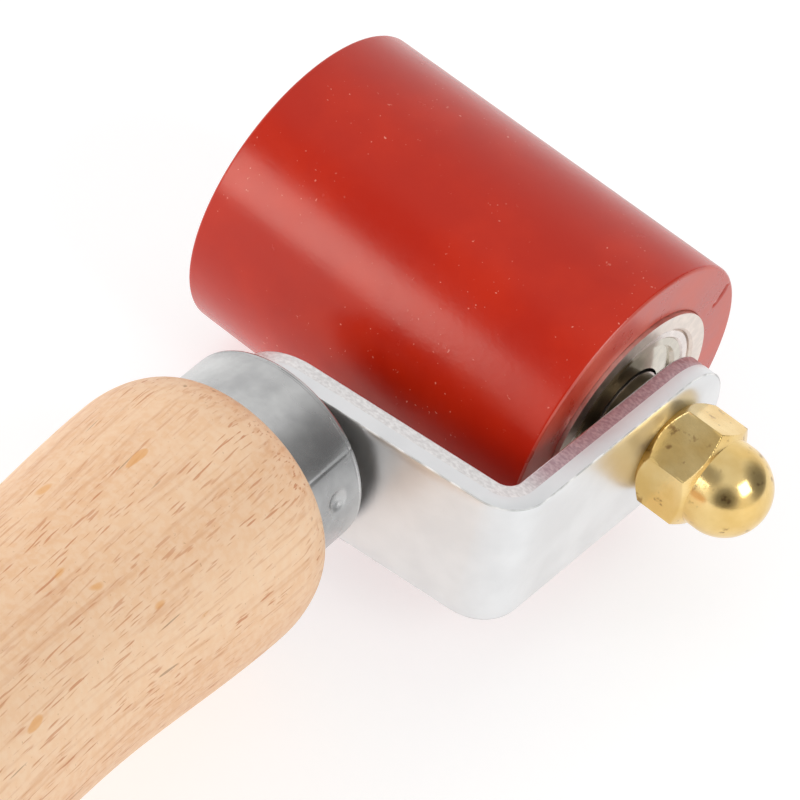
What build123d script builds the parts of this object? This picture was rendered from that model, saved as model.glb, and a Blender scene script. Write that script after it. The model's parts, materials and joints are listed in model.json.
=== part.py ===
from build123d import *
import math
import os

# Seam roller: a silicone roller on two ball bearings, held from one side by a bent strip on a turned handle.
# Millimetres. The roller's axis lies along X, the handle points towards -Y and Z is up.
# Everything is drawn about the roller's centre, and moved at the end to stand on Z = 0.

# Roller
roller_width = 40.0
roller_radius = 16.25
core_radius = 11.4
core_bore = 8.8
core_overhang = 0.4
core_chamfer = 0.25
rim_round = 0.35
nick_radius = 14.45
nick_angle = 29.5
nick_slant = 20.5
nick_length = 2.8
nick_width = 0.5

# Ball bearing, 6 x 19 x 6
bearing_bore = 3.0
bearing_radius = 9.5
bearing_width = 6.0
bearing_recess = 0.3
ball_radius = 1.75
ball_count = 7
pitch_radius = 6.25
race_clearance = 0.05
inner_land = 4.7
outer_land = 7.7
seat_radius = 8.4
seat_chamfer = 0.2
shield_step = 7.6
shield_eye = 5.0
shield_sheet = 0.25
shield_recess = 0.15
shield_depth = 0.55
shield_rise = 0.4
cage_half_width = 2.1
cage_half_height = 0.7
ring_chamfer = 0.25

# Axle and spacers
axle_radius = 3.0
spacer_radius = 4.5
shim_thickness = 0.6
arm_gap = 2.3
head_height = 4.0
hex_flats = 10.0
nut_height = 11.5
nut_hex_height = 5.6
nut_face_radius = 4.6
dome_radius = 4.6
nut_bore_depth = 8.5
thread_gap = 1.0

# Bent strip
strip_thickness = 3.0
strip_width = 15.5
bend_radius = 1.6
strip_lean = 6.0
strip_behind_axis = 23.77
strip_end_x = 0.6
axle_hole_radius = 3.2
arm_past_axle = 0.35
strip_edge_round = 0.15

# Handle, measured along its own axis from the ferrule's front lip
handle_lean = 3.0
lip_centre = Vector(1.0, -27.6, 0)
ferrule_length = 6.8
ferrule_radius = 10.1
ferrule_wall = 0.7
lip_round = 0.2
groove_start = 0.4
groove_end = 0.9
groove_depth = 0.15
tenon_start = 2.2
shoulder = Vector(13.05, 13.41)
waist = Vector(36.0, 12.2)
rear_swell = Vector(100.0, roller_radius)
handle_end = 124.8
handle_end_radius = 6.5
tang_radius = 4.0
tang_stem_radius = 3.5
tang_collar_radius = 6.0
tang_head_radius = 5.6
tang_head_height = 2.0
tang_head_x = -4.0
tang_depth = 52.0
dimple_place = 3.4
dimple_angle = 17.0
dimple_radius = 2.4
dimple_depth = 0.55

half_width = roller_width / 2
core_half = half_width + core_overhang
arm_inner_x = half_width + arm_gap
arm_outer_x = arm_inner_x + strip_thickness
bearing_centre_x = core_half - bearing_recess - bearing_width / 2
head_face = -core_half + bearing_recess - shim_thickness
hex_corner = hex_flats / math.sqrt(3)
strip_turn = math.radians(strip_lean)
handle_turn = math.radians(handle_lean)

parts = {}


def turned(points):
    """A solid of revolution about X from a closed outline of (x, radius) corners."""
    return revolve(make_face(Polyline(*points, close=True)), Axis.X)


def tube(start, end, outer, inner):
    """A plain tube along X."""
    return turned([(start, inner), (end, inner), (end, outer), (start, outer)])


def rod(start, end, radius):
    """A plain round bar along X."""
    return tube(start, end, radius, 0)


def hexagon_bar(start, end):
    """A hexagon bar along X with two corners straight up and down."""
    outline = RegularPolygon(hex_corner, 6, rotation=90)
    return extrude(Plane(origin=(start, 0, 0), x_dir=(0, 1, 0), z_dir=(1, 0, 0)) * outline, end - start)


def silicone_sleeve():
    """The soft cover, with rounded rims and a small nick in its arm-side face."""
    sleeve = tube(-half_width, half_width, roller_radius, core_radius)
    circles = sleeve.edges().filter_by(GeomType.CIRCLE)
    sleeve = fillet(circles.filter_by(lambda edge: edge.radius > core_radius + rim_round), rim_round)
    # A sliver of a nick that the mould leaves near the rim of the end face.
    nick = Rot(X=nick_slant) * Rot(Y=45) * Box(nick_width, nick_length, nick_width)
    return sleeve - Rot(X=nick_angle) * Pos(half_width, nick_radius, 0) * nick


def core_tube():
    """The steel tube under the silicone, bored out at each end to seat a bearing."""
    seat = core_half - bearing_recess - bearing_width
    mouth = core_half - core_chamfer
    return turned(
        [
            (-core_half, bearing_radius + core_chamfer),
            (-mouth, bearing_radius),
            (-seat, bearing_radius),
            (-seat, core_bore),
            (seat, core_bore),
            (seat, bearing_radius),
            (mouth, bearing_radius),
            (core_half, bearing_radius + core_chamfer),
            (core_half, core_radius),
            (-core_half, core_radius),
        ]
    )


def race_cutter():
    """The ring-shaped groove that the balls run in, a little larger than the balls."""
    groove = Pos(0, pitch_radius) * Circle(ball_radius + race_clearance)
    return revolve(groove, Axis.X)


def outer_ring():
    """The ring pressed into the core tube, with a stepped seat for a shield at each face."""
    half = bearing_width / 2
    seat = half - shield_depth - shield_sheet
    return (
        turned(
            [
                (-half, seat_radius + seat_chamfer),
                (-half + seat_chamfer, seat_radius),
                (-seat, seat_radius),
                (-seat, outer_land),
                (seat, outer_land),
                (seat, seat_radius),
                (half - seat_chamfer, seat_radius),
                (half, seat_radius + seat_chamfer),
                (half, bearing_radius - ring_chamfer),
                (half - ring_chamfer, bearing_radius),
                (-half + ring_chamfer, bearing_radius),
                (-half, bearing_radius - ring_chamfer),
            ]
        )
        - race_cutter()
    )


def inner_ring():
    """The ring clamped on the axle."""
    half = bearing_width / 2
    return tube(-half, half, inner_land, bearing_bore) - race_cutter()


def shield():
    """A pressed sheet ring: a flat rim, a step down and a shallow cone to the eye, facing +X."""
    rim = bearing_width / 2 - shield_recess
    floor = bearing_width / 2 - shield_depth
    return turned(
        [
            (rim, seat_radius),
            (rim, shield_step),
            (floor, shield_step - shield_sheet),
            (floor + shield_rise, shield_eye),
            (floor + shield_rise - shield_sheet, shield_eye),
            (floor - shield_sheet, shield_step - shield_sheet),
            (floor - shield_sheet, shield_step),
            (rim - shield_sheet, shield_step + shield_sheet),
            (rim - shield_sheet, seat_radius),
        ]
    )


def around_pitch_circle(solid):
    """Copies of one solid at every ball's place."""
    step = 360 / ball_count
    return [Rot(X=index * step) * Pos(0, pitch_radius, 0) * solid for index in range(ball_count)]


def cage():
    """A ring between the two races, with a round pocket for each ball."""
    outer = pitch_radius + cage_half_height
    inner = pitch_radius - cage_half_height
    ring = tube(-cage_half_width, cage_half_width, outer, inner)
    return ring - around_pitch_circle(Sphere(ball_radius + race_clearance))


def add_bearing(side, place):
    """One complete bearing; `place` puts its outward face on the roller's end."""
    parts[f"bearing_outer_ring_{side}"] = place * outer_ring()
    parts[f"bearing_inner_ring_{side}"] = place * inner_ring()
    parts[f"bearing_cage_{side}"] = place * cage()
    parts[f"bearing_balls_{side}"] = place * Compound(around_pitch_circle(Sphere(ball_radius)))
    parts[f"bearing_shield_outer_{side}"] = place * shield()
    parts[f"bearing_shield_inner_{side}"] = place * Rot(Z=180) * shield()


def cap_nut():
    """A domed nut: a hexagon chamfered at both ends, a blind thread and a ball-shaped cap."""
    base = arm_outer_x
    dome_centre = nut_height - dome_radius
    corner_cut = hex_corner - nut_face_radius
    envelope = turned(
        [
            (base, 0),
            (base, nut_face_radius),
            (base + corner_cut, hex_corner),
            (base + nut_hex_height - corner_cut / 2, hex_corner),
            (base + nut_hex_height, nut_face_radius),
            (base + nut_hex_height, 0),
        ]
    )
    hexagon = hexagon_bar(base, base + nut_hex_height) & envelope
    neck = rod(base + nut_hex_height, base + dome_centre, dome_radius)
    dome = Pos(base + dome_centre, 0, 0) * Sphere(dome_radius)
    return hexagon + neck + dome - rod(base, base + nut_bore_depth, axle_radius)


def axle_bolt():
    """The hexagon bolt that carries the bearings, its head at the roller's free end."""
    head_cut = hex_corner - hex_flats / 2
    envelope = turned(
        [
            (head_face, 0),
            (head_face, hex_corner),
            (head_face - head_height + head_cut / 2, hex_corner),
            (head_face - head_height, hex_corner - head_cut),
            (head_face - head_height, 0),
        ]
    )
    head = hexagon_bar(head_face - head_height, head_face) & envelope
    return head + rod(head_face, arm_outer_x + nut_bore_depth - thread_gap, axle_radius)


def bend_centre():
    """The centre of the strip's bend, one inner radius away from both legs."""
    x = arm_inner_x - bend_radius
    y = -strip_behind_axis + x * math.tan(strip_turn) + bend_radius / math.cos(strip_turn)
    return Vector(x, y, 0)


def rounded_leg(start, direction, normal, length):
    """A flat leg that runs `length` from the bend to the centre of its full-round end."""
    outline = Pos(length / 2, 0) * Rectangle(length, strip_width) + Pos(length, 0) * Circle(strip_width / 2)
    return extrude(Plane(origin=start, x_dir=direction, z_dir=normal) * outline, strip_thickness)


def bracket():
    """The bent strip: a leg behind the roller, the bend and the arm that carries the axle."""
    centre = bend_centre()
    strip_normal = Vector(math.sin(strip_turn), -math.cos(strip_turn), 0)
    strip_direction = Vector(-math.cos(strip_turn), -math.sin(strip_turn), 0)
    arm_normal = Vector(1, 0, 0)
    strip_length = (centre.X - strip_end_x) / math.cos(strip_turn)
    strip = rounded_leg(centre + strip_normal * bend_radius, strip_direction, strip_normal, strip_length)
    arm_length = arm_past_axle - centre.Y
    arm = rounded_leg(centre + arm_normal * bend_radius, Vector(0, 1, 0), arm_normal, arm_length)
    middle = centre + arm_normal * (bend_radius + strip_thickness / 2)
    section_plane = Plane(origin=middle, x_dir=arm_normal, z_dir=(0, -1, 0))
    section = section_plane * Rectangle(strip_thickness, strip_width)
    bend = revolve(section, Axis(centre, (0, 0, -1)), 90 - strip_lean)
    body = strip + arm + bend
    body = fillet(body.edges().filter_by(is_outline), strip_edge_round)
    body -= rod(half_width, arm_outer_x + strip_thickness, axle_hole_radius)
    return body - handle_frame() * rod(2 * tang_head_x, 0, tang_stem_radius)


def is_outline(edge):
    """True for the bracket's long edges, which follow its outline round on both faces."""
    return not (edge.geom_type == GeomType.LINE and abs(edge.tangent_at(0.5).Z) > 0.9)


def handle_frame():
    """The handle's own place: its X runs back from the ferrule's lip along the handle."""
    backward = (math.sin(handle_turn), -math.cos(handle_turn), 0)
    return Plane(origin=lip_centre, x_dir=backward, z_dir=(0, 0, 1)).location


def handle():
    """The turned handle: a tenon, a round shoulder, a slim waist, a rear swell and a blunt end."""
    inside = ferrule_radius - ferrule_wall
    front = Polyline((tenon_start, 0), (tenon_start, inside), (ferrule_length, inside))
    step = Line((ferrule_length, inside), (ferrule_length, ferrule_radius))
    along = (1, 0)
    nose = Spline((ferrule_length, ferrule_radius), shoulder, tangents=[(0, 1), along])
    neck = Spline(shoulder, waist, tangents=[along, along])
    grip = Spline(waist, rear_swell, tangents=[along, along])
    tail = Spline(rear_swell, (handle_end, handle_end_radius), tangents=[along, (0, -1)])
    back = Polyline((handle_end, handle_end_radius), (handle_end, 0), (tenon_start, 0))
    body = revolve(make_face([front, step, nose, neck, grip, tail, back]), Axis.X)
    return body - rod(tenon_start, tang_depth, tang_radius) - dimple(ferrule_wall)


def dimple(grow):
    """The ball-shaped press mark that stakes the ferrule to the wood, grown by the sheet's thickness."""
    depth = ferrule_radius - dimple_depth + dimple_radius
    ball = Pos(dimple_place, depth, 0) * Sphere(dimple_radius + grow)
    return Rot(X=dimple_angle) * ball


def ferrule():
    """A short sheet tube with a fine groove behind its lip and one staked dimple."""
    inside = ferrule_radius - ferrule_wall
    groove_floor = ferrule_radius - groove_depth
    shell = turned(
        [
            (lip_round, inside),
            (ferrule_length, inside),
            (ferrule_length, ferrule_radius),
            (groove_end, ferrule_radius),
            (groove_end - groove_depth, groove_floor),
            (groove_start + groove_depth, groove_floor),
            (groove_start, ferrule_radius),
            (lip_round, ferrule_radius),
            (0, ferrule_radius - lip_round),
            (0, inside + lip_round),
        ]
    )
    bulge = dimple(ferrule_wall) & rod(0, ferrule_length, inside + ferrule_wall / 2)
    return shell + bulge - dimple(0)


def tang(bracket_body):
    """The steel stud in the handle: a shank, a collar behind the strip and a peened head before it."""
    tip = tang_depth - thread_gap
    stud = rod(tang_head_x, tip, tang_stem_radius) + rod(tenon_start, tip, tang_radius)
    stud += rod(tang_head_x / 2, tenon_start, tang_collar_radius)
    dome = (tang_head_radius**2 + tang_head_height**2) / (2 * tang_head_height)
    head = Pos(tang_head_x - tang_head_height + dome, 0, 0) * Sphere(dome)
    head &= rod(tang_head_x - tang_head_height, tang_head_x + strip_thickness / 2, tang_head_radius)
    return handle_frame() * (stud + head) - bracket_body


parts["silicone_sleeve"] = silicone_sleeve()
parts["core_tube"] = core_tube()
add_bearing("arm_side", Pos(bearing_centre_x, 0, 0))
add_bearing("free_side", Pos(-bearing_centre_x, 0, 0) * Rot(Z=180))
inner_face = bearing_centre_x - bearing_width / 2
outer_face = bearing_centre_x + bearing_width / 2
parts["bearing_spacer"] = tube(-inner_face, inner_face, spacer_radius, axle_radius)
parts["arm_spacer"] = tube(outer_face, arm_inner_x, spacer_radius, axle_radius)
parts["head_shim"] = tube(-outer_face - shim_thickness, -outer_face, spacer_radius, axle_radius)
parts["axle_bolt"] = axle_bolt()
parts["cap_nut"] = cap_nut()
parts["bracket"] = bracket()
parts["tang"] = tang(parts["bracket"])
parts["ferrule"] = handle_frame() * ferrule()
parts["handle"] = handle_frame() * handle()

# Stand the tool on its roller and rear swell at Z = 0, with the origin under the middle of its box.
rear_y = lip_centre.Y - handle_end * math.cos(handle_turn) - handle_end_radius * math.sin(handle_turn)
middle_x = (arm_outer_x + nut_height + head_face - head_height) / 2
stand = Pos(-middle_x, -(roller_radius + rear_y) / 2, roller_radius)

os.makedirs("parts", exist_ok=True)
for node, solid in parts.items():
    export_step(stand * solid, f"parts/{node}.step")
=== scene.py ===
import json
import math

import bmesh
import bpy
from mathutils import Matrix, Vector


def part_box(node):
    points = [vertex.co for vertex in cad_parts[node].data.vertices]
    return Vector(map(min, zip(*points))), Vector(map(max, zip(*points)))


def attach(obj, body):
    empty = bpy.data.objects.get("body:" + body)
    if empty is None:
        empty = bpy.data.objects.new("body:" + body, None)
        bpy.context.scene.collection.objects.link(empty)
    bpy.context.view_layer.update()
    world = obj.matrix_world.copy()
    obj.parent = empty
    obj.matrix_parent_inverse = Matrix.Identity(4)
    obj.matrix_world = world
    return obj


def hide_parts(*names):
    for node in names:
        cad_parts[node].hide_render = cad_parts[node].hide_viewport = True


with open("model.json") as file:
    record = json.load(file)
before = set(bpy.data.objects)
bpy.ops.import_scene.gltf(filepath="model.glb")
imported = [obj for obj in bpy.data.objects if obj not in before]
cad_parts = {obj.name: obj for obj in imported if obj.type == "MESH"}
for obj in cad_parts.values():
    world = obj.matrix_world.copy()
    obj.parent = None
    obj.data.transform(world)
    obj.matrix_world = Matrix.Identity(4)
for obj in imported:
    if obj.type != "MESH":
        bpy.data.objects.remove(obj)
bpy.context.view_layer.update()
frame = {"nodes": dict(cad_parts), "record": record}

# Lengths are in metres.
MM = 0.001
SEGMENTS = 180
NUT_SEGMENTS = 360
FINE_SEGMENTS = 720
MERGE_DISTANCE = 1e-7
SLIVER_LENGTH = 1e-8

# Places and directions, read from the frame. The handle's length, as its lean hides it in its box, is given.
mounts = {mount["name"]: mount for mount in frame["record"]["mounts"]}
up = Vector((0, 0, 1))


def corners(node):
    low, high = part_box(node)
    return Vector(low), Vector(high)


sleeve_low, sleeve_high = corners("silicone_sleeve")
axle = (sleeve_low + sleeve_high) / 2
roller_radius = (sleeve_high.z - sleeve_low.z) / 2
half_width = (sleeve_high.x - sleeve_low.x) / 2
core_low, core_high = corners("core_tube")
core_radius = (core_high.z - core_low.z) / 2
strip_low, strip_high = corners("bracket")
nut_low, nut_high = corners("cap_nut")
handle_direction = Vector(mounts["handle_end"]["axis"])
handle_length = 124.8 * MM
lip_centre = Vector(mounts["handle_end"]["pos_m"]) - handle_direction * handle_length
strip_normal = Vector(mounts["strip_back"]["axis"])

# The frames that turned pieces are drawn in: x along the piece, radius across it.
roller_frame = Matrix.Translation(axle)
handle_frame = Matrix.Translation(lip_centre) @ Matrix(
    (handle_direction, up.cross(handle_direction), up)
).transposed().to_4x4()


# Mesh helpers


def finished_object(name, builder, materials, sharp=35):
    """Turns a bmesh into a shaded object; edges sharper than `sharp` degrees stay crisp."""
    bmesh.ops.remove_doubles(builder, verts=builder.verts, dist=MERGE_DISTANCE)
    bmesh.ops.dissolve_degenerate(builder, edges=builder.edges, dist=SLIVER_LENGTH)
    bmesh.ops.recalc_face_normals(builder, faces=builder.faces)
    mesh = bpy.data.meshes.new(name)
    builder.to_mesh(mesh)
    builder.free()
    for polygon in mesh.polygons:
        polygon.use_smooth = True
    mesh.set_sharp_from_angle(angle=math.radians(sharp))
    for material in materials:
        mesh.materials.append(material)
    piece = bpy.data.objects.new(name, mesh)
    bpy.context.collection.objects.link(piece)
    return piece


def even_normals(piece):
    """Keeps broad flats flat beside their small rounded edges."""
    modifier = piece.modifiers.new("even_normals", "WEIGHTED_NORMAL")
    modifier.keep_sharp = True
    modifier.weight = 100


def lathe(name, profile, place, materials, segments=SEGMENTS, shape=None, closed=True, slots=None):
    """Turns a list of (x, radius) round X. `shape` may move each point, given x, radius and angle."""
    builder = bmesh.new()
    rings = []
    for x, radius in profile:
        ring = []
        for index in range(segments):
            angle = 2 * math.pi * index / segments
            shaped_x, shaped_radius = shape(x, radius, angle) if shape else (x, radius)
            point = Vector((shaped_x, shaped_radius * math.cos(angle), shaped_radius * math.sin(angle)))
            ring.append(builder.verts.new(place @ point))
        rings.append(ring)
    pairs = list(zip(rings, rings[1:])) + ([(rings[-1], rings[0])] if closed else [])
    for row, (first, second) in enumerate(pairs):
        for index in range(segments):
            following = (index + 1) % segments
            face = builder.faces.new((first[index], first[following], second[following], second[index]))
            face.material_index = slots[row] if slots else 0
    return finished_object(name, builder, materials)


def corner_arc(centre, radius, start, end, steps):
    """Points on an arc in the (x, radius) plane, from one angle in degrees to another."""
    turn = [math.radians(start + (end - start) * step / steps) for step in range(steps + 1)]
    return [(centre[0] + radius * math.cos(angle), centre[1] + radius * math.sin(angle)) for angle in turn]


def between(start, end, steps):
    """Even points from start up to but not including end."""
    return [
        (start[0] + (end[0] - start[0]) * step / steps, start[1] + (end[1] - start[1]) * step / steps)
        for step in range(steps)
    ]


def eased(start, end, start_slope, end_slope, steps):
    """A smooth curve between two (x, radius) points that leaves and arrives along the given slopes."""
    reach = math.dist(start, end)
    points = []
    for step in range(steps):
        t = step / steps
        weights = (2 * t**3 - 3 * t**2 + 1, t**3 - 2 * t**2 + t, 3 * t**2 - 2 * t**3, t**3 - t**2)
        points.append(
            tuple(
                weights[0] * start[axis]
                + weights[1] * reach * start_slope[axis]
                + weights[2] * end[axis]
                + weights[3] * reach * end_slope[axis]
                for axis in (0, 1)
            )
        )
    return points


# Material helpers


def colour(red, green, blue):
    """A linear colour from the usual 0 to 255 values."""
    linear = [(value / 255 / 12.92) if value <= 10 else ((value / 255 + 0.055) / 1.055) ** 2.4
              for value in (red, green, blue)]
    return (*linear, 1.0)


class Material:
    """A node material with short ways to add what each surface needs.

    Noise scales are in cells per metre, so 1000 gives grains of about 1 mm. Bump distances are in metres.
    The base and roughness given at the start are the surface's plain middle values.
    """

    def __init__(self, name, base, roughness, metallic=0.0, **sockets):
        self.material = bpy.data.materials.new(name)
        self.material.use_nodes = True
        self.nodes = self.material.node_tree.nodes
        self.links = self.material.node_tree.links
        self.shader = self.nodes["Principled BSDF"]
        self.shader.inputs["Base Color"].default_value = base
        self.shader.inputs["Roughness"].default_value = roughness
        self.shader.inputs["Metallic"].default_value = metallic
        for socket, value in sockets.items():
            self.shader.inputs[socket.replace("_", " ")].default_value = value
        self.place = self.nodes.new("ShaderNodeTexCoord").outputs["Object"]

    def add(self, kind, **settings):
        node = self.nodes.new(kind)
        for key, value in settings.items():
            setattr(node, key, value)
        return node

    def stretched(self, scale, rotation=(0, 0, 0)):
        """The object's own coordinates, turned and then scaled by a different amount along each axis."""
        turn = self.add("ShaderNodeMapping", vector_type="TEXTURE")
        turn.inputs["Rotation"].default_value = rotation
        self.links.new(self.place, turn.inputs["Vector"])
        stretch = self.add("ShaderNodeMapping")
        stretch.inputs["Scale"].default_value = scale
        self.links.new(turn.outputs["Vector"], stretch.inputs["Vector"])
        return stretch.outputs["Vector"]

    def along(self, axis):
        """The object's own X, Y or Z coordinate."""
        split = self.add("ShaderNodeSeparateXYZ")
        self.links.new(self.place, split.inputs["Vector"])
        return split.outputs[axis]

    def noise(self, scale, detail=3.0, roughness=0.5, vector=None, distortion=0.0):
        node = self.add("ShaderNodeTexNoise")
        node.inputs["Scale"].default_value = scale
        node.inputs["Detail"].default_value = detail
        node.inputs["Roughness"].default_value = roughness
        node.inputs["Distortion"].default_value = distortion
        self.links.new(vector or self.place, node.inputs["Vector"])
        return node.outputs["Fac"]

    def ramp(self, factor, low, high):
        """0 below low, 1 above high, smooth between."""
        node = self.add("ShaderNodeMapRange", interpolation_type="SMOOTHSTEP")
        node.inputs["From Min"].default_value = low
        node.inputs["From Max"].default_value = high
        self.links.new(factor, node.inputs["Value"])
        return node.outputs["Result"]

    def span(self, factor, low, high):
        """The factor's 0 to 1 stretched over low to high."""
        node = self.add("ShaderNodeMapRange")
        node.inputs["To Min"].default_value = low
        node.inputs["To Max"].default_value = high
        self.links.new(factor, node.inputs["Value"])
        return node.outputs["Result"]

    def math(self, operation, first, second):
        """One arithmetic step on two outputs, or on an output and a plain number."""
        node = self.add("ShaderNodeMath", operation=operation)
        for socket, value in zip(node.inputs, (first, second)):
            if isinstance(value, (int, float)):
                socket.default_value = value
            else:
                self.links.new(value, socket)
        return node.outputs["Value"]

    def mix(self, factor, first, second):
        """The first colour where the factor is 0 and the second where it is 1."""
        node = self.add("ShaderNodeMix", data_type="RGBA")
        colours = [socket for socket in node.inputs if socket.type == "RGBA"]
        self.links.new(factor, node.inputs["Factor"])
        for socket, value in zip(colours, (first, second)):
            if isinstance(value, tuple):
                socket.default_value = value
            else:
                self.links.new(value, socket)
        return next(socket for socket in node.outputs if socket.type == "RGBA")

    def set_colour(self, output):
        self.links.new(output, self.shader.inputs["Base Color"])

    def set_roughness(self, output):
        self.links.new(output, self.shader.inputs["Roughness"])

    def bump(self, height, distance, strength=1.0):
        """Adds relief on top of any relief that is already there."""
        node = self.add("ShaderNodeBump")
        node.inputs["Distance"].default_value = distance
        node.inputs["Strength"].default_value = strength
        self.links.new(height, node.inputs["Height"])
        previous = self.shader.inputs["Normal"]
        if previous.is_linked:
            self.links.new(previous.links[0].from_socket, node.inputs["Normal"])
        self.links.new(node.outputs["Normal"], previous)


def silicone():
    """Satin red silicone: faint clouding, a few pale dust specks and a fine moulded skin."""
    m = Material("red_silicone", colour(190, 30, 8), 0.25, Specular_IOR_Level=0.46,
                 Specular_Tint=colour(255, 232, 220))
    base = m.mix(m.ramp(m.noise(110, 4), 0.35, 0.7), colour(180, 28, 4), colour(192, 36, 6))
    specks = m.ramp(m.noise(2600, 1), 0.73, 0.78)
    patches = m.ramp(m.noise(110, 2), 0.42, 0.6)
    dust = m.math("MULTIPLY", specks, patches)
    m.set_colour(m.mix(m.math("MULTIPLY", dust, 0.8), base, colour(232, 150, 132)))
    m.set_roughness(m.span(m.noise(700, 3), 0.2, 0.3))
    m.bump(m.noise(2600, 2), 0.00003, 0.35)
    m.bump(m.noise(900, 2), 0.00003, 0.3)
    return m.material


def silicone_end():
    """The cut end of the silicone: the same red, but matt and lightened to a pinkish tone as painted sheen.
    """
    m = Material("silicone_end_face", colour(192, 60, 40), 0.32, Specular_IOR_Level=0.85)
    cloud = m.ramp(m.noise(220, 4), 0.3, 0.75)
    # Painted sheen: the clouded colour is pinker and lighter than the sleeve's red.
    m.set_colour(m.mix(cloud, colour(184, 52, 32), colour(200, 76, 54)))
    m.set_roughness(m.span(cloud, 0.26, 0.38))
    m.bump(m.noise(1400, 3), 0.00003, 0.5)
    return m.material


def beech():
    """Sanded beech: warm peach wood, growth lines, short reddish ray flecks, a resin spot and pinholes."""
    m = Material("turned_beech", colour(236, 188, 142), 0.5, Specular_IOR_Level=0.35)
    lean = math.atan2(handle_direction.x, -handle_direction.y)
    grain = m.stretched((1.0, 0.09, 1.0), (0, 0, lean))
    fine_grain = m.stretched((1.0, 0.05, 1.0), (0, 0, lean))
    fleck_grain = m.stretched((1.0, 0.07, 1.0), (0, 0, lean + math.radians(2)))
    broad = m.ramp(m.noise(110, 3, vector=grain), 0.3, 0.7)
    base = m.mix(broad, colour(229, 182, 140), colour(242, 205, 168))
    mottle = m.ramp(m.noise(1300, 4), 0.35, 0.65)
    base = m.mix(m.math("MULTIPLY", mottle, 0.3), base, colour(246, 220, 192))
    lines = m.ramp(m.noise(1300, 3, vector=fine_grain), 0.5, 0.72)
    base = m.mix(m.math("MULTIPLY", lines, 0.38), base, colour(208, 148, 104))
    flecks = m.ramp(m.noise(3900, 1, vector=fleck_grain), 0.6, 0.7)
    some = m.span(m.ramp(m.noise(260, 2, vector=grain), 0.35, 0.6), 0.35, 1.0)
    flecks = m.math("MULTIPLY", flecks, some)
    base = m.mix(m.math("MULTIPLY", flecks, 0.72), base, colour(194, 120, 76))
    dashes = m.ramp(m.noise(2100, 0, vector=fleck_grain), 0.8, 0.84)
    base = m.mix(m.math("MULTIPLY", dashes, 0.5), base, colour(128, 84, 54))
    pores = m.ramp(m.noise(3600, 1), 0.74, 0.78)
    base = m.mix(m.math("MULTIPLY", pores, 0.35), base, colour(160, 104, 66))
    spot_grain = m.stretched((1.0, 0.35, 1.0), (0, 0, lean))
    resin = m.ramp(m.noise(560, 0, vector=spot_grain), 0.78, 0.82)
    base = m.mix(m.math("MULTIPLY", resin, 0.6), base, colour(226, 160, 84))
    m.set_colour(base)
    m.set_roughness(m.span(broad, 0.46, 0.58))
    m.bump(lines, 0.00004, 0.35)
    m.bump(flecks, 0.00004, 0.3)
    m.bump(m.noise(1600, 3), 0.00003, 0.35)
    return m.material


def end_grain():
    """The tenon's front end: open end grain, painted grey instead of the beech's colour as painted shade in
    the ferrule's mouth.
    """
    m = Material("painted_shade_end_grain", colour(186, 182, 176), 0.7, Specular_IOR_Level=0.3)
    grain = m.ramp(m.noise(900, 3), 0.35, 0.7)
    # Painted shade: grey tones in place of wood, so the mouth of the ferrule reads dark.
    m.set_colour(m.mix(grain, colour(170, 166, 160), colour(200, 196, 190)))
    m.bump(m.noise(2400, 2), 0.00006, 0.5)
    return m.material


def plated(name, tone, roughness, haze):
    """Bright plating over rolled strip: near mirror, with cloudy haze, slight waves and fine pits."""
    m = Material(name, tone, roughness, metallic=1.0)
    cloud = m.noise(150, 4)
    dull = tuple(0.91 * part for part in tone[:3]) + (1.0,)
    m.set_colour(m.mix(m.ramp(cloud, 0.35, 0.68), dull, tone))
    m.set_roughness(m.span(cloud, roughness, roughness + haze))
    m.bump(m.noise(120, 2), 0.0001, 0.4)
    m.bump(m.noise(800, 3), 0.00002, 0.5)
    m.bump(m.ramp(m.noise(2200, 2), 0.7, 0.76), 0.00002, 0.4)
    return m.material


def sheared():
    """The torn half of the strip's cut edge: fine tear marks, tinted a dull mauve along the arm as a painted
    reflection of the red roller and dark bearing.
    """
    m = Material("torn_edge", colour(232, 230, 229), 0.3, metallic=1.0)
    tears = m.noise(3800, 3, vector=m.stretched((0.6, 1.0, 1.0)))
    metal = m.mix(m.ramp(tears, 0.3, 0.75), colour(216, 213, 212), colour(242, 240, 239))
    # Painted reflection: these mauve tones stand for the red roller and dark bearing seen in the edge.
    mauve_reflection = m.mix(m.ramp(tears, 0.3, 0.75), colour(172, 142, 148), colour(206, 180, 184))
    back = mounts["strip_back"]["pos_m"][1]
    # Along the arm the edge takes the painted reflection.
    along_arm = m.ramp(m.along("Y"), back + 4 * MM, back + 9 * MM)
    m.set_colour(m.mix(along_arm, metal, mauve_reflection))
    m.set_roughness(m.span(tears, 0.26, 0.4))
    m.bump(tears, 0.00003, 0.45)
    m.bump(m.noise(900, 2), 0.00005, 0.3)
    return m.material


def burr():
    """The thin grey burr where the cut edge meets the strip's outer face."""
    m = Material("burr_line", colour(205, 206, 205), 0.62, metallic=1.0)
    breaks = m.ramp(m.noise(420, 3), 0.4, 0.6)
    m.set_colour(m.mix(breaks, colour(206, 207, 206), colour(246, 246, 245)))
    m.bump(m.noise(1800, 3), 0.00003, 0.5)
    return m.material


def satin_sheet():
    """The ferrule's sheet steel: satin, cloudy, with faint draw lines along it."""
    m = Material("ferrule_sheet", colour(194, 194, 194), 0.28, metallic=1.0)
    lean = math.atan2(handle_direction.x, -handle_direction.y)
    drawn = m.noise(500, 3, vector=m.stretched((1.0, 0.06, 1.0), (0, 0, lean)))
    m.set_roughness(m.span(m.noise(150, 4), 0.18, 0.36))
    m.set_colour(m.mix(m.ramp(m.noise(190, 4), 0.35, 0.7), colour(178, 178, 178), colour(208, 208, 207)))
    m.bump(drawn, 0.00003, 0.3)
    m.bump(m.noise(260, 3), 0.00005, 0.3)
    return m.material


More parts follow.
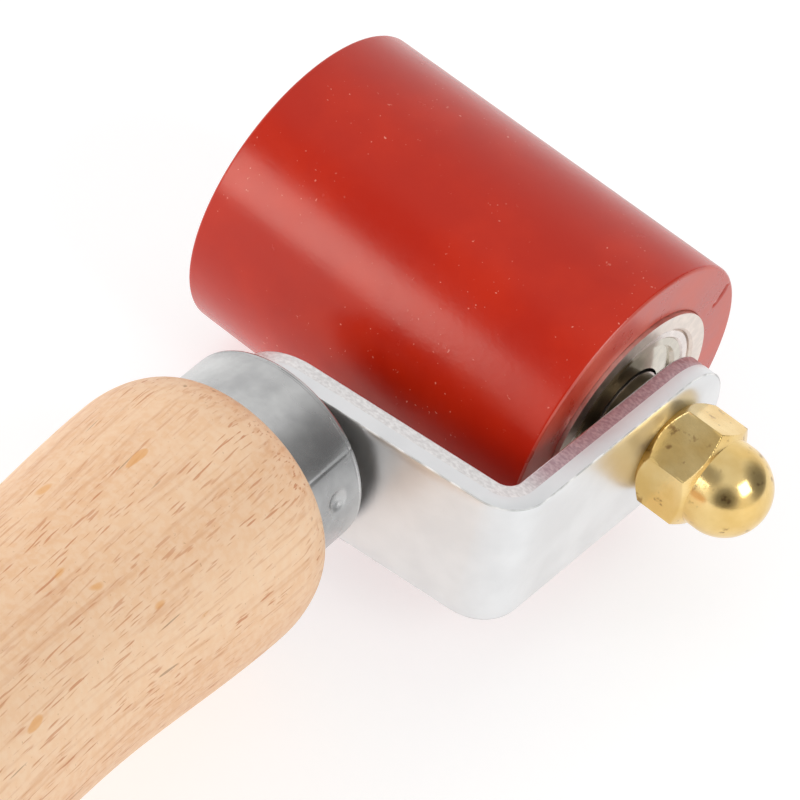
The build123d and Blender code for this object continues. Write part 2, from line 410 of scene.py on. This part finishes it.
def brass():
    """Polished brass with warm colour drift, small tarnish spots and fine scratches."""
    m = Material("cap_brass", colour(236, 200, 130), 0.14, metallic=1.0)
    base = m.mix(m.ramp(m.noise(240, 3), 0.3, 0.7), colour(226, 189, 116), colour(240, 211, 148))
    tarnish = m.math("MULTIPLY", m.ramp(m.noise(700, 3), 0.61, 0.71), 0.7)
    m.set_colour(m.mix(tarnish, base, colour(140, 98, 56)))
    m.set_roughness(m.span(m.noise(500, 4), 0.1, 0.26))
    m.bump(m.noise(900, 3), 0.00003, 0.4)
    m.bump(m.noise(2600, 2), 0.00001, 0.4)
    return m.material


def turned_steel(name, tone, roughness):
    """Machined steel with fine rings round the roller's axis."""
    m = Material(name, tone, roughness, metallic=1.0)
    cloud = m.noise(900, 3)
    m.set_roughness(m.span(cloud, roughness * 0.8, roughness * 1.3))
    m.set_colour(m.mix(m.ramp(cloud, 0.35, 0.7), tuple(0.86 * part for part in tone[:3]) + (1.0,), tone))
    m.bump(m.noise(1600, 2), 0.00002, 0.3)
    return m.material


# Pieces


def roller_sleeve():
    """The silicone sleeve, with rounded rims and the small moulding nick in its arm-side face."""
    rim = 0.35 * MM
    bore_lip = 0.15 * MM
    nick_centre = Vector((12.57, 7.14)) * MM
    nick_along = Vector((0.642, 0.766))
    nick_half_length = 1.45 * MM
    nick_half_width = 0.2 * MM
    nick_depth = 0.5 * MM
    nick_bow = 0.3 * MM
    nick_reach = 3
    rim_rings = 6
    end_rings = 4
    face_rings = 60
    arm_face = half_width - rim / 10
    # Faces beyond this take the end-face material, whose pinkish tone is painted sheen.
    pink_sheen_start = half_width - rim * 0.4

    def nicked(x, radius, angle):
        offset = Vector((radius * math.cos(angle), radius * math.sin(angle))) - nick_centre
        along = offset.dot(nick_along) / nick_half_length
        bow = nick_bow * (1 - along**2)
        across = (offset.x * nick_along.y - offset.y * nick_along.x - bow) / nick_half_width
        if x > arm_face and abs(along) < 1 and abs(across) < nick_reach:
            x -= nick_depth * (1 - along**2) * math.exp(-across * across)
        return x, radius

    outer = roller_radius - rim
    bore = core_radius + bore_lip
    profile = [(-half_width + bore_lip, core_radius)]
    profile += between((-half_width, bore), (-half_width, outer), end_rings)
    profile += corner_arc((-half_width + rim, outer), rim, 180, 90, rim_rings)
    profile += corner_arc((half_width - rim, outer), rim, 90, 0, rim_rings)
    profile += between((half_width, outer), (half_width, bore), face_rings)[1:]
    profile += [(half_width, bore), (half_width - bore_lip, core_radius)]
    slots = [int(abs(start[0] + end[0]) / 2 > pink_sheen_start) for start, end in zip(profile, profile[1:])] + [0]
    piece = lathe("roller_cover", profile, roller_frame, [silicone(), silicone_end()],
                  FINE_SEGMENTS, nicked, slots=slots)
    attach(piece, "roller")
    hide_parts("silicone_sleeve")


def turned_handle():
    """The beech handle: tenon, round shoulder, waist, rear swell and blunt end."""
    tenon = 9.4 * MM
    tenon_start = 2.2 * MM
    front = 6.8 * MM
    front_radius = 10.1 * MM
    shoulder = (13.05 * MM, 13.41 * MM)
    waist = (36.0 * MM, 12.2 * MM)
    swell = (100.0 * MM, roller_radius)
    end = (handle_length, 6.5 * MM)
    level, outward, inward = (1, 0), (0, 1), (0, -1)
    tenon_rings, step_rings, shoulder_rings, swell_rings, end_rings, flat_rings = 3, 2, 24, 40, 32, 4
    profile = between((tenon_start, 0.0), (tenon_start, tenon), tenon_rings)
    profile += between((tenon_start, tenon), (front, tenon), tenon_rings)
    profile += between((front, tenon), (front, front_radius), step_rings)
    profile += eased((front, front_radius), shoulder, outward, level, shoulder_rings)
    profile += eased(shoulder, waist, level, level, shoulder_rings)
    profile += eased(waist, swell, level, level, swell_rings)
    profile += eased(swell, end, level, inward, end_rings)
    profile += between(end, (handle_length, 0.0), flat_rings) + [(handle_length, 0.0)]
    slots = [int(stop[0] <= tenon_start) for stop in profile[1:]]
    piece = lathe("beech_handle", profile, handle_frame, [beech(), end_grain()], closed=False, slots=slots)
    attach(piece, "tool")
    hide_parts("handle")


def front_ferrule():
    """The sheet ferrule: a fine groove behind the lip, a lengthwise crease and one staked dimple in a dent.

    The dimple and its dent together stay shallower than the sheet is thick, as the tenon lies under it.
    """
    outer = 10.1 * MM
    inner = 9.4 * MM
    length = 6.8 * MM
    dimple_x = 3.4 * MM
    dimple_angle = math.radians(17)
    dimple_radius = 1.0 * MM
    dimple_depth = 0.46 * MM
    dent_radius = 2.3 * MM
    dent_depth = 0.2 * MM
    crease_angle = math.radians(38)
    crease_width = 0.16 * MM
    crease_depth = 0.05 * MM
    bore_rings = 20
    skin_rings = 48
    bore_start = 0.3 * MM
    skin_start = 0.9 * MM
    # (place along the ferrule, height above the bore or depth below the skin), in millimetres.
    bore_lip = ((0.15, 0.08), (0.0, 0.25))
    skin_lip = ((0.0, 0.25), (0.06, 0.1), (0.18, 0.03), (0.3, 0.03))
    groove = ((0.38, 0.09), (0.5, 0.09), (0.62, 0.0))

    def staked(x, radius, angle):
        turn = (angle - dimple_angle + math.pi) % (2 * math.pi) - math.pi
        distance = math.hypot(x - dimple_x, turn * radius)
        reach = distance / dimple_radius
        press = dimple_depth * math.exp(-(reach**4)) * (1 - reach / 3)
        dent = dent_depth * math.exp(-((distance / dent_radius) ** 2))
        crease = crease_depth * math.exp(-(((angle - crease_angle) * radius / crease_width) ** 2))
        return x, radius - max(press, 0) - dent - crease

    profile = between((length, inner), (bore_start, inner), bore_rings)
    profile += [(x * MM, inner + height * MM) for x, height in bore_lip]
    profile += [(x * MM, outer - depth * MM) for x, depth in skin_lip + groove]
    profile += between((skin_start, outer), (length, outer), skin_rings) + [(length, outer)]
    piece = lathe("sheet_ferrule", profile, handle_frame, [satin_sheet()], FINE_SEGMENTS, staked)
    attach(piece, "tool")
    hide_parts("ferrule")


def hexagon_radius(flat_distance, angle):
    """How far a hexagon's side is from its centre, with one corner straight up."""
    sixth = math.pi / 3
    return flat_distance / math.cos((angle - math.pi / 2) % sixth - sixth / 2)


def domed_nut():
    """The brass cap nut: chamfered hexagon, a small neck and the ball-shaped cap."""
    flats = 5.0 * MM
    corner = flats / math.cos(math.pi / 6)
    face_radius = 4.6 * MM
    hex_height = 5.6 * MM
    dome = 4.6 * MM
    shelf = 0.15 * MM
    neck_start = 0.1 * MM
    neck_end = 0.3 * MM
    face_rings, chamfer_rings, side_rings, dome_rings = 2, 12, 3, 24
    height = nut_high.x - nut_low.x
    chamfer = corner - face_radius
    base = nut_low.x - axle.x

    def six_sided(x, radius, angle):
        return x, min(radius, hexagon_radius(flats, angle))

    hex_end = base + hex_height
    side_start = (base + chamfer, corner)
    side_end = (hex_end - chamfer / 2, corner)
    profile = between((base, 0.0), (base, face_radius), face_rings)
    profile += between((base, face_radius), side_start, chamfer_rings)
    profile += between(side_start, side_end, side_rings)
    profile += between(side_end, (hex_end, face_radius + shelf), chamfer_rings)
    profile += [(hex_end + neck_start, dome), (hex_end + neck_end, dome)]
    profile += corner_arc((base + height - dome, 0.0), dome, 90, 0, dome_rings)
    piece = lathe("brass_cap_nut", profile, roller_frame, [brass()], NUT_SEGMENTS, six_sided, closed=False)
    even_normals(piece)
    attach(piece, "tool")
    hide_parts("cap_nut")


def strip_edge_levels(thickness):
    """(inset from the full outline, depth from the inner face, material slot) across the cut edge.

    From the inner face outwards: a small round, a grainy torn half, a smooth half, a thin burr line, and
    the outer face's roll-over, which punched strip has.
    """
    plain, torn, burred = 0, 1, 2
    edge_round = 0.15 * MM
    edge_steps = 4
    tear_inset = 0.03 * MM
    tear_end = 0.46
    smooth_start = 0.5
    roll_width = 1.2 * MM
    roll_depth = 0.2 * MM
    roll_steps = 12
    burr_steps = 4
    levels = []
    for step in range(edge_steps + 1):
        angle = math.pi / 2 * step / edge_steps
        levels.append((edge_round * (1 - math.sin(angle)), edge_round * (1 - math.cos(angle)), plain))
    levels += [(tear_inset, thickness * tear_end, torn), (0.0, thickness * smooth_start, plain)]
    for step in range(roll_steps + 1):
        angle = math.pi / 2 * (1 - step / roll_steps)
        inset = roll_width * (1 - math.sin(angle))
        depth = thickness - roll_depth * (1 - math.cos(angle))
        levels.append((inset, depth, burred if 0 < step <= burr_steps else plain))
    return levels


def strip_mesh(levels, stations, placed):
    """Joins the strip's outline, repeated at each level, into one closed skin."""
    builder = bmesh.new()
    loops = []
    for inset, depth, _ in levels:
        sides = []
        for side in (1, -1):
            sides.append([builder.verts.new(placed(s, side * w, depth)) for s, w in stations(inset)])
        loops.append(sides)
    for row in range(len(loops) - 1):
        for side in (0, 1):
            first, second = loops[row][side], loops[row + 1][side]
            for index in range(len(first) - 1):
                face = builder.faces.new((first[index], first[index + 1], second[index + 1], second[index]))
                face.material_index = levels[row + 1][2]
    for top, bottom in (loops[0], loops[-1]):
        for index in range(len(top) - 1):
            builder.faces.new((top[index], top[index + 1], bottom[index + 1], bottom[index]))
    return builder


def bent_bracket():
    """The plated strip: one leg behind the roller, a bend and the arm, with full-round ends."""
    thickness = 3.0 * MM
    inner_bend = 1.6 * MM
    outer_bend = inner_bend + thickness
    half = (strip_high.z - strip_low.z) / 2
    lean = math.atan2(strip_normal.x, -strip_normal.y)
    turn = math.pi / 2 - lean
    back = Vector(mounts["strip_back"]["pos_m"])
    centre_x = strip_high.x - outer_bend
    centre_y = back.y - (-outer_bend - (centre_x - back.x) * strip_normal.x) / -strip_normal.y
    centre = Vector((centre_x, centre_y, axle.z))
    strip_direction = Vector((-math.cos(lean), -math.sin(lean), 0))
    round_end_x = strip_low.x + half * math.cos(lean) - inner_bend * strip_normal.x
    strip_length = (centre_x - round_end_x) / math.cos(lean)
    arm_length = strip_high.y - half - centre_y
    # The distance that stands for the bend. Its true length differs with depth.
    bend_length = 8 * MM
    end_steps = 20
    straight_steps = 12
    bend_steps = 32
    quarter = [math.pi / 2 * step / end_steps for step in range(end_steps + 1)]

    def placed(distance, across, depth):
        """The point at a distance from the bend's start, across the strip and deep in its thickness."""
        radius = inner_bend + depth
        if distance <= 0:
            point = centre + strip_normal * radius - strip_direction * distance
        elif distance < bend_length:
            angle = distance / bend_length * turn
            point = centre + Matrix.Rotation(angle, 3, "Z") @ strip_normal * radius
        else:
            point = centre + Vector((radius, distance - bend_length, 0))
        return point + up * across

    def stations(inset):
        """(distance along, half width) from one round end to the other."""
        radius = half - inset
        arm_end = bend_length + arm_length
        first = [(-strip_length - radius * math.cos(a), radius * math.sin(a)) for a in quarter]
        leg = [(-strip_length * (1 - step / straight_steps), radius) for step in range(1, straight_steps)]
        bend = [(bend_length * step / bend_steps, radius) for step in range(bend_steps + 1)]
        arm = [(bend_length + arm_length * step / straight_steps, radius)
               for step in range(1, straight_steps)]
        last = [(arm_end + radius * math.cos(a), radius * math.sin(a)) for a in reversed(quarter)]
        return first + leg + bend + arm + last

    builder = strip_mesh(strip_edge_levels(thickness), stations, placed)
    plate = plated("bright_plating", colour(234, 235, 236), 0.24, 0.22)
    piece = finished_object("bent_strip", builder, [plate, sheared(), burr()], sharp=50)
    even_normals(piece)
    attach(piece, "tool")
    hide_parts("bracket")


def finish_cad_nodes():
    """Gives each carried-over CAD node the material that its slot stands for."""
    finishes = {
        "bearing_steel": turned_steel("bearing_ring_steel", colour(240, 231, 226), 0.24),
        "shield_steel": turned_steel("shield_sheet_steel", colour(214, 208, 194), 0.14),
        "core_steel": turned_steel("core_tube_steel", colour(236, 224, 214), 0.3),
        "spacer_steel": turned_steel("oiled_steel", colour(120, 108, 88), 0.34),
        "plain_steel": turned_steel("plain_steel", colour(150, 148, 146), 0.38),
        "bright_zinc": plated("bolt_plating", colour(214, 216, 218), 0.2, 0.12),
    }
    for entry in frame["record"]["subparts"]:
        finish = finishes.get(entry["material_slot"])
        node = frame["nodes"][entry["node"]]
        if finish:
            for index in range(len(node.data.materials)):
                node.material_slots[index].material = finish


# Stage

WALL_STRENGTH = 1.0
WALL_TOP = 0.5
CEILING_STRENGTH = 0.8
# (direction, half angle in degrees, how much darker): right of the handle, beyond the nut, behind the camera.
DARK_SIDES = [((0.52, -0.78, 0.36), 42, 0.85), ((0.62, 0.62, 0.35), 48, 0.8), ((-0.35, -0.58, 0.73), 30, 0.6)]
BOX_DISTANCE = 0.9
BOX_SIZE = 0.4
FLOOR_REACH = 3.0


def stage_floor():
    """A large pale square on Z = 0 that glows a little, so that shadows stay faint."""
    mesh = bpy.data.meshes.new("floor")
    square = [(x * FLOOR_REACH, y * FLOOR_REACH, 0) for x, y in ((-1, -1), (1, -1), (1, 1), (-1, 1))]
    mesh.from_pydata(square, [], [(0, 1, 2, 3)])
    floor = bpy.data.objects.new("floor", mesh)
    bpy.context.collection.objects.link(floor)
    m = Material("pale_floor", (0.5, 0.5, 0.5, 1), 0.6, Emission_Color=(1, 1, 1, 1), Emission_Strength=0.58)
    m.bump(m.noise(40, 2), 0.0001, 0.1)
    mesh.materials.append(m.material)


def soft_light(name, direction, power):
    """A square soft box that stands off in one direction and faces the roller."""
    light = bpy.data.lights.new(name, "AREA")
    light.size = BOX_SIZE
    light.energy = power
    lamp = bpy.data.objects.new(name, light)
    lamp.location = axle + direction.normalized() * BOX_DISTANCE
    lamp.rotation_euler = (-direction).to_track_quat("-Z", "Y").to_euler()
    bpy.context.collection.objects.link(lamp)


def graded(nodes, links, source, start, low, high):
    """`low` until the source reaches start, then a smooth change that ends at `high` when it reaches 1."""
    node = nodes.new("ShaderNodeMapRange")
    node.interpolation_type = "SMOOTHSTEP"
    node.inputs["From Min"].default_value = start
    node.inputs["To Min"].default_value = low
    node.inputs["To Max"].default_value = high
    links.new(source, node.inputs["Value"])
    return node.outputs["Result"]


def studio():
    """A pale room with a softer ceiling and three darker sides, and two soft boxes.

    One box stands to the left of the handle, and the other beyond the nut.
    """
    world = bpy.data.worlds.new("studio")
    bpy.context.scene.world = world
    world.use_nodes = True
    nodes, links = world.node_tree.nodes, world.node_tree.links
    place = nodes.new("ShaderNodeTexCoord").outputs["Generated"]
    split = nodes.new("ShaderNodeSeparateXYZ")
    links.new(place, split.inputs["Vector"])
    level = graded(nodes, links, split.outputs["Z"], WALL_TOP, WALL_STRENGTH, CEILING_STRENGTH)
    for direction, half_angle, darkness in DARK_SIDES:
        nearness = nodes.new("ShaderNodeVectorMath")
        nearness.operation = "DOT_PRODUCT"
        nearness.inputs[1].default_value = Vector(direction).normalized()
        links.new(place, nearness.inputs[0])
        edge = math.cos(math.radians(half_angle))
        shade = graded(nodes, links, nearness.outputs["Value"], edge, 1.0, 1.0 - darkness)
        product = nodes.new("ShaderNodeMath")
        product.operation = "MULTIPLY"
        links.new(level, product.inputs[0])
        links.new(shade, product.inputs[1])
        level = product.outputs["Value"]
    links.new(level, nodes["Background"].inputs["Strength"])
    nodes["Background"].inputs["Color"].default_value = (1, 1, 1, 1)
    soft_light("left_box", Vector((-0.48, -0.80, 0.37)), 2.5)
    soft_light("right_box", Vector((0.79, 0.0, 0.61)), 2.4)


def photograph_camera():
    """A long lens above and behind the handle's left, rolled as the picture is."""
    heading = math.radians(-30.78)
    tilt_down = math.radians(47.09)
    roll = math.radians(13.47)
    distance = 0.378
    aim_offset = Vector((1.5, -8.7, -7.5)) * MM
    aim = axle + aim_offset
    level_reach = math.cos(tilt_down)
    forward = Vector((math.sin(heading) * level_reach, math.cos(heading) * level_reach, -math.sin(tilt_down)))
    level_right = forward.cross(up).normalized()
    level_up = level_right.cross(forward)
    right = level_right * math.cos(roll) + level_up * math.sin(roll)
    upright = right.cross(forward)
    data = bpy.data.cameras.new("camera")
    data.sensor_width = 36
    data.lens = 180
    data.clip_start = 0.01
    camera = bpy.data.objects.new("camera", data)
    camera.matrix_world = Matrix.Translation(aim - forward * distance) @ Matrix(
        (right, upright, -forward)
    ).transposed().to_4x4()
    bpy.context.collection.objects.link(camera)
    bpy.context.scene.camera = camera
    bpy.context.scene.view_settings.view_transform = "Standard"


roller_sleeve()
turned_handle()
front_ferrule()
domed_nut()
bent_bracket()
finish_cad_nodes()
stage_floor()
studio()
photograph_camera()

bpy.context.view_layer.update()
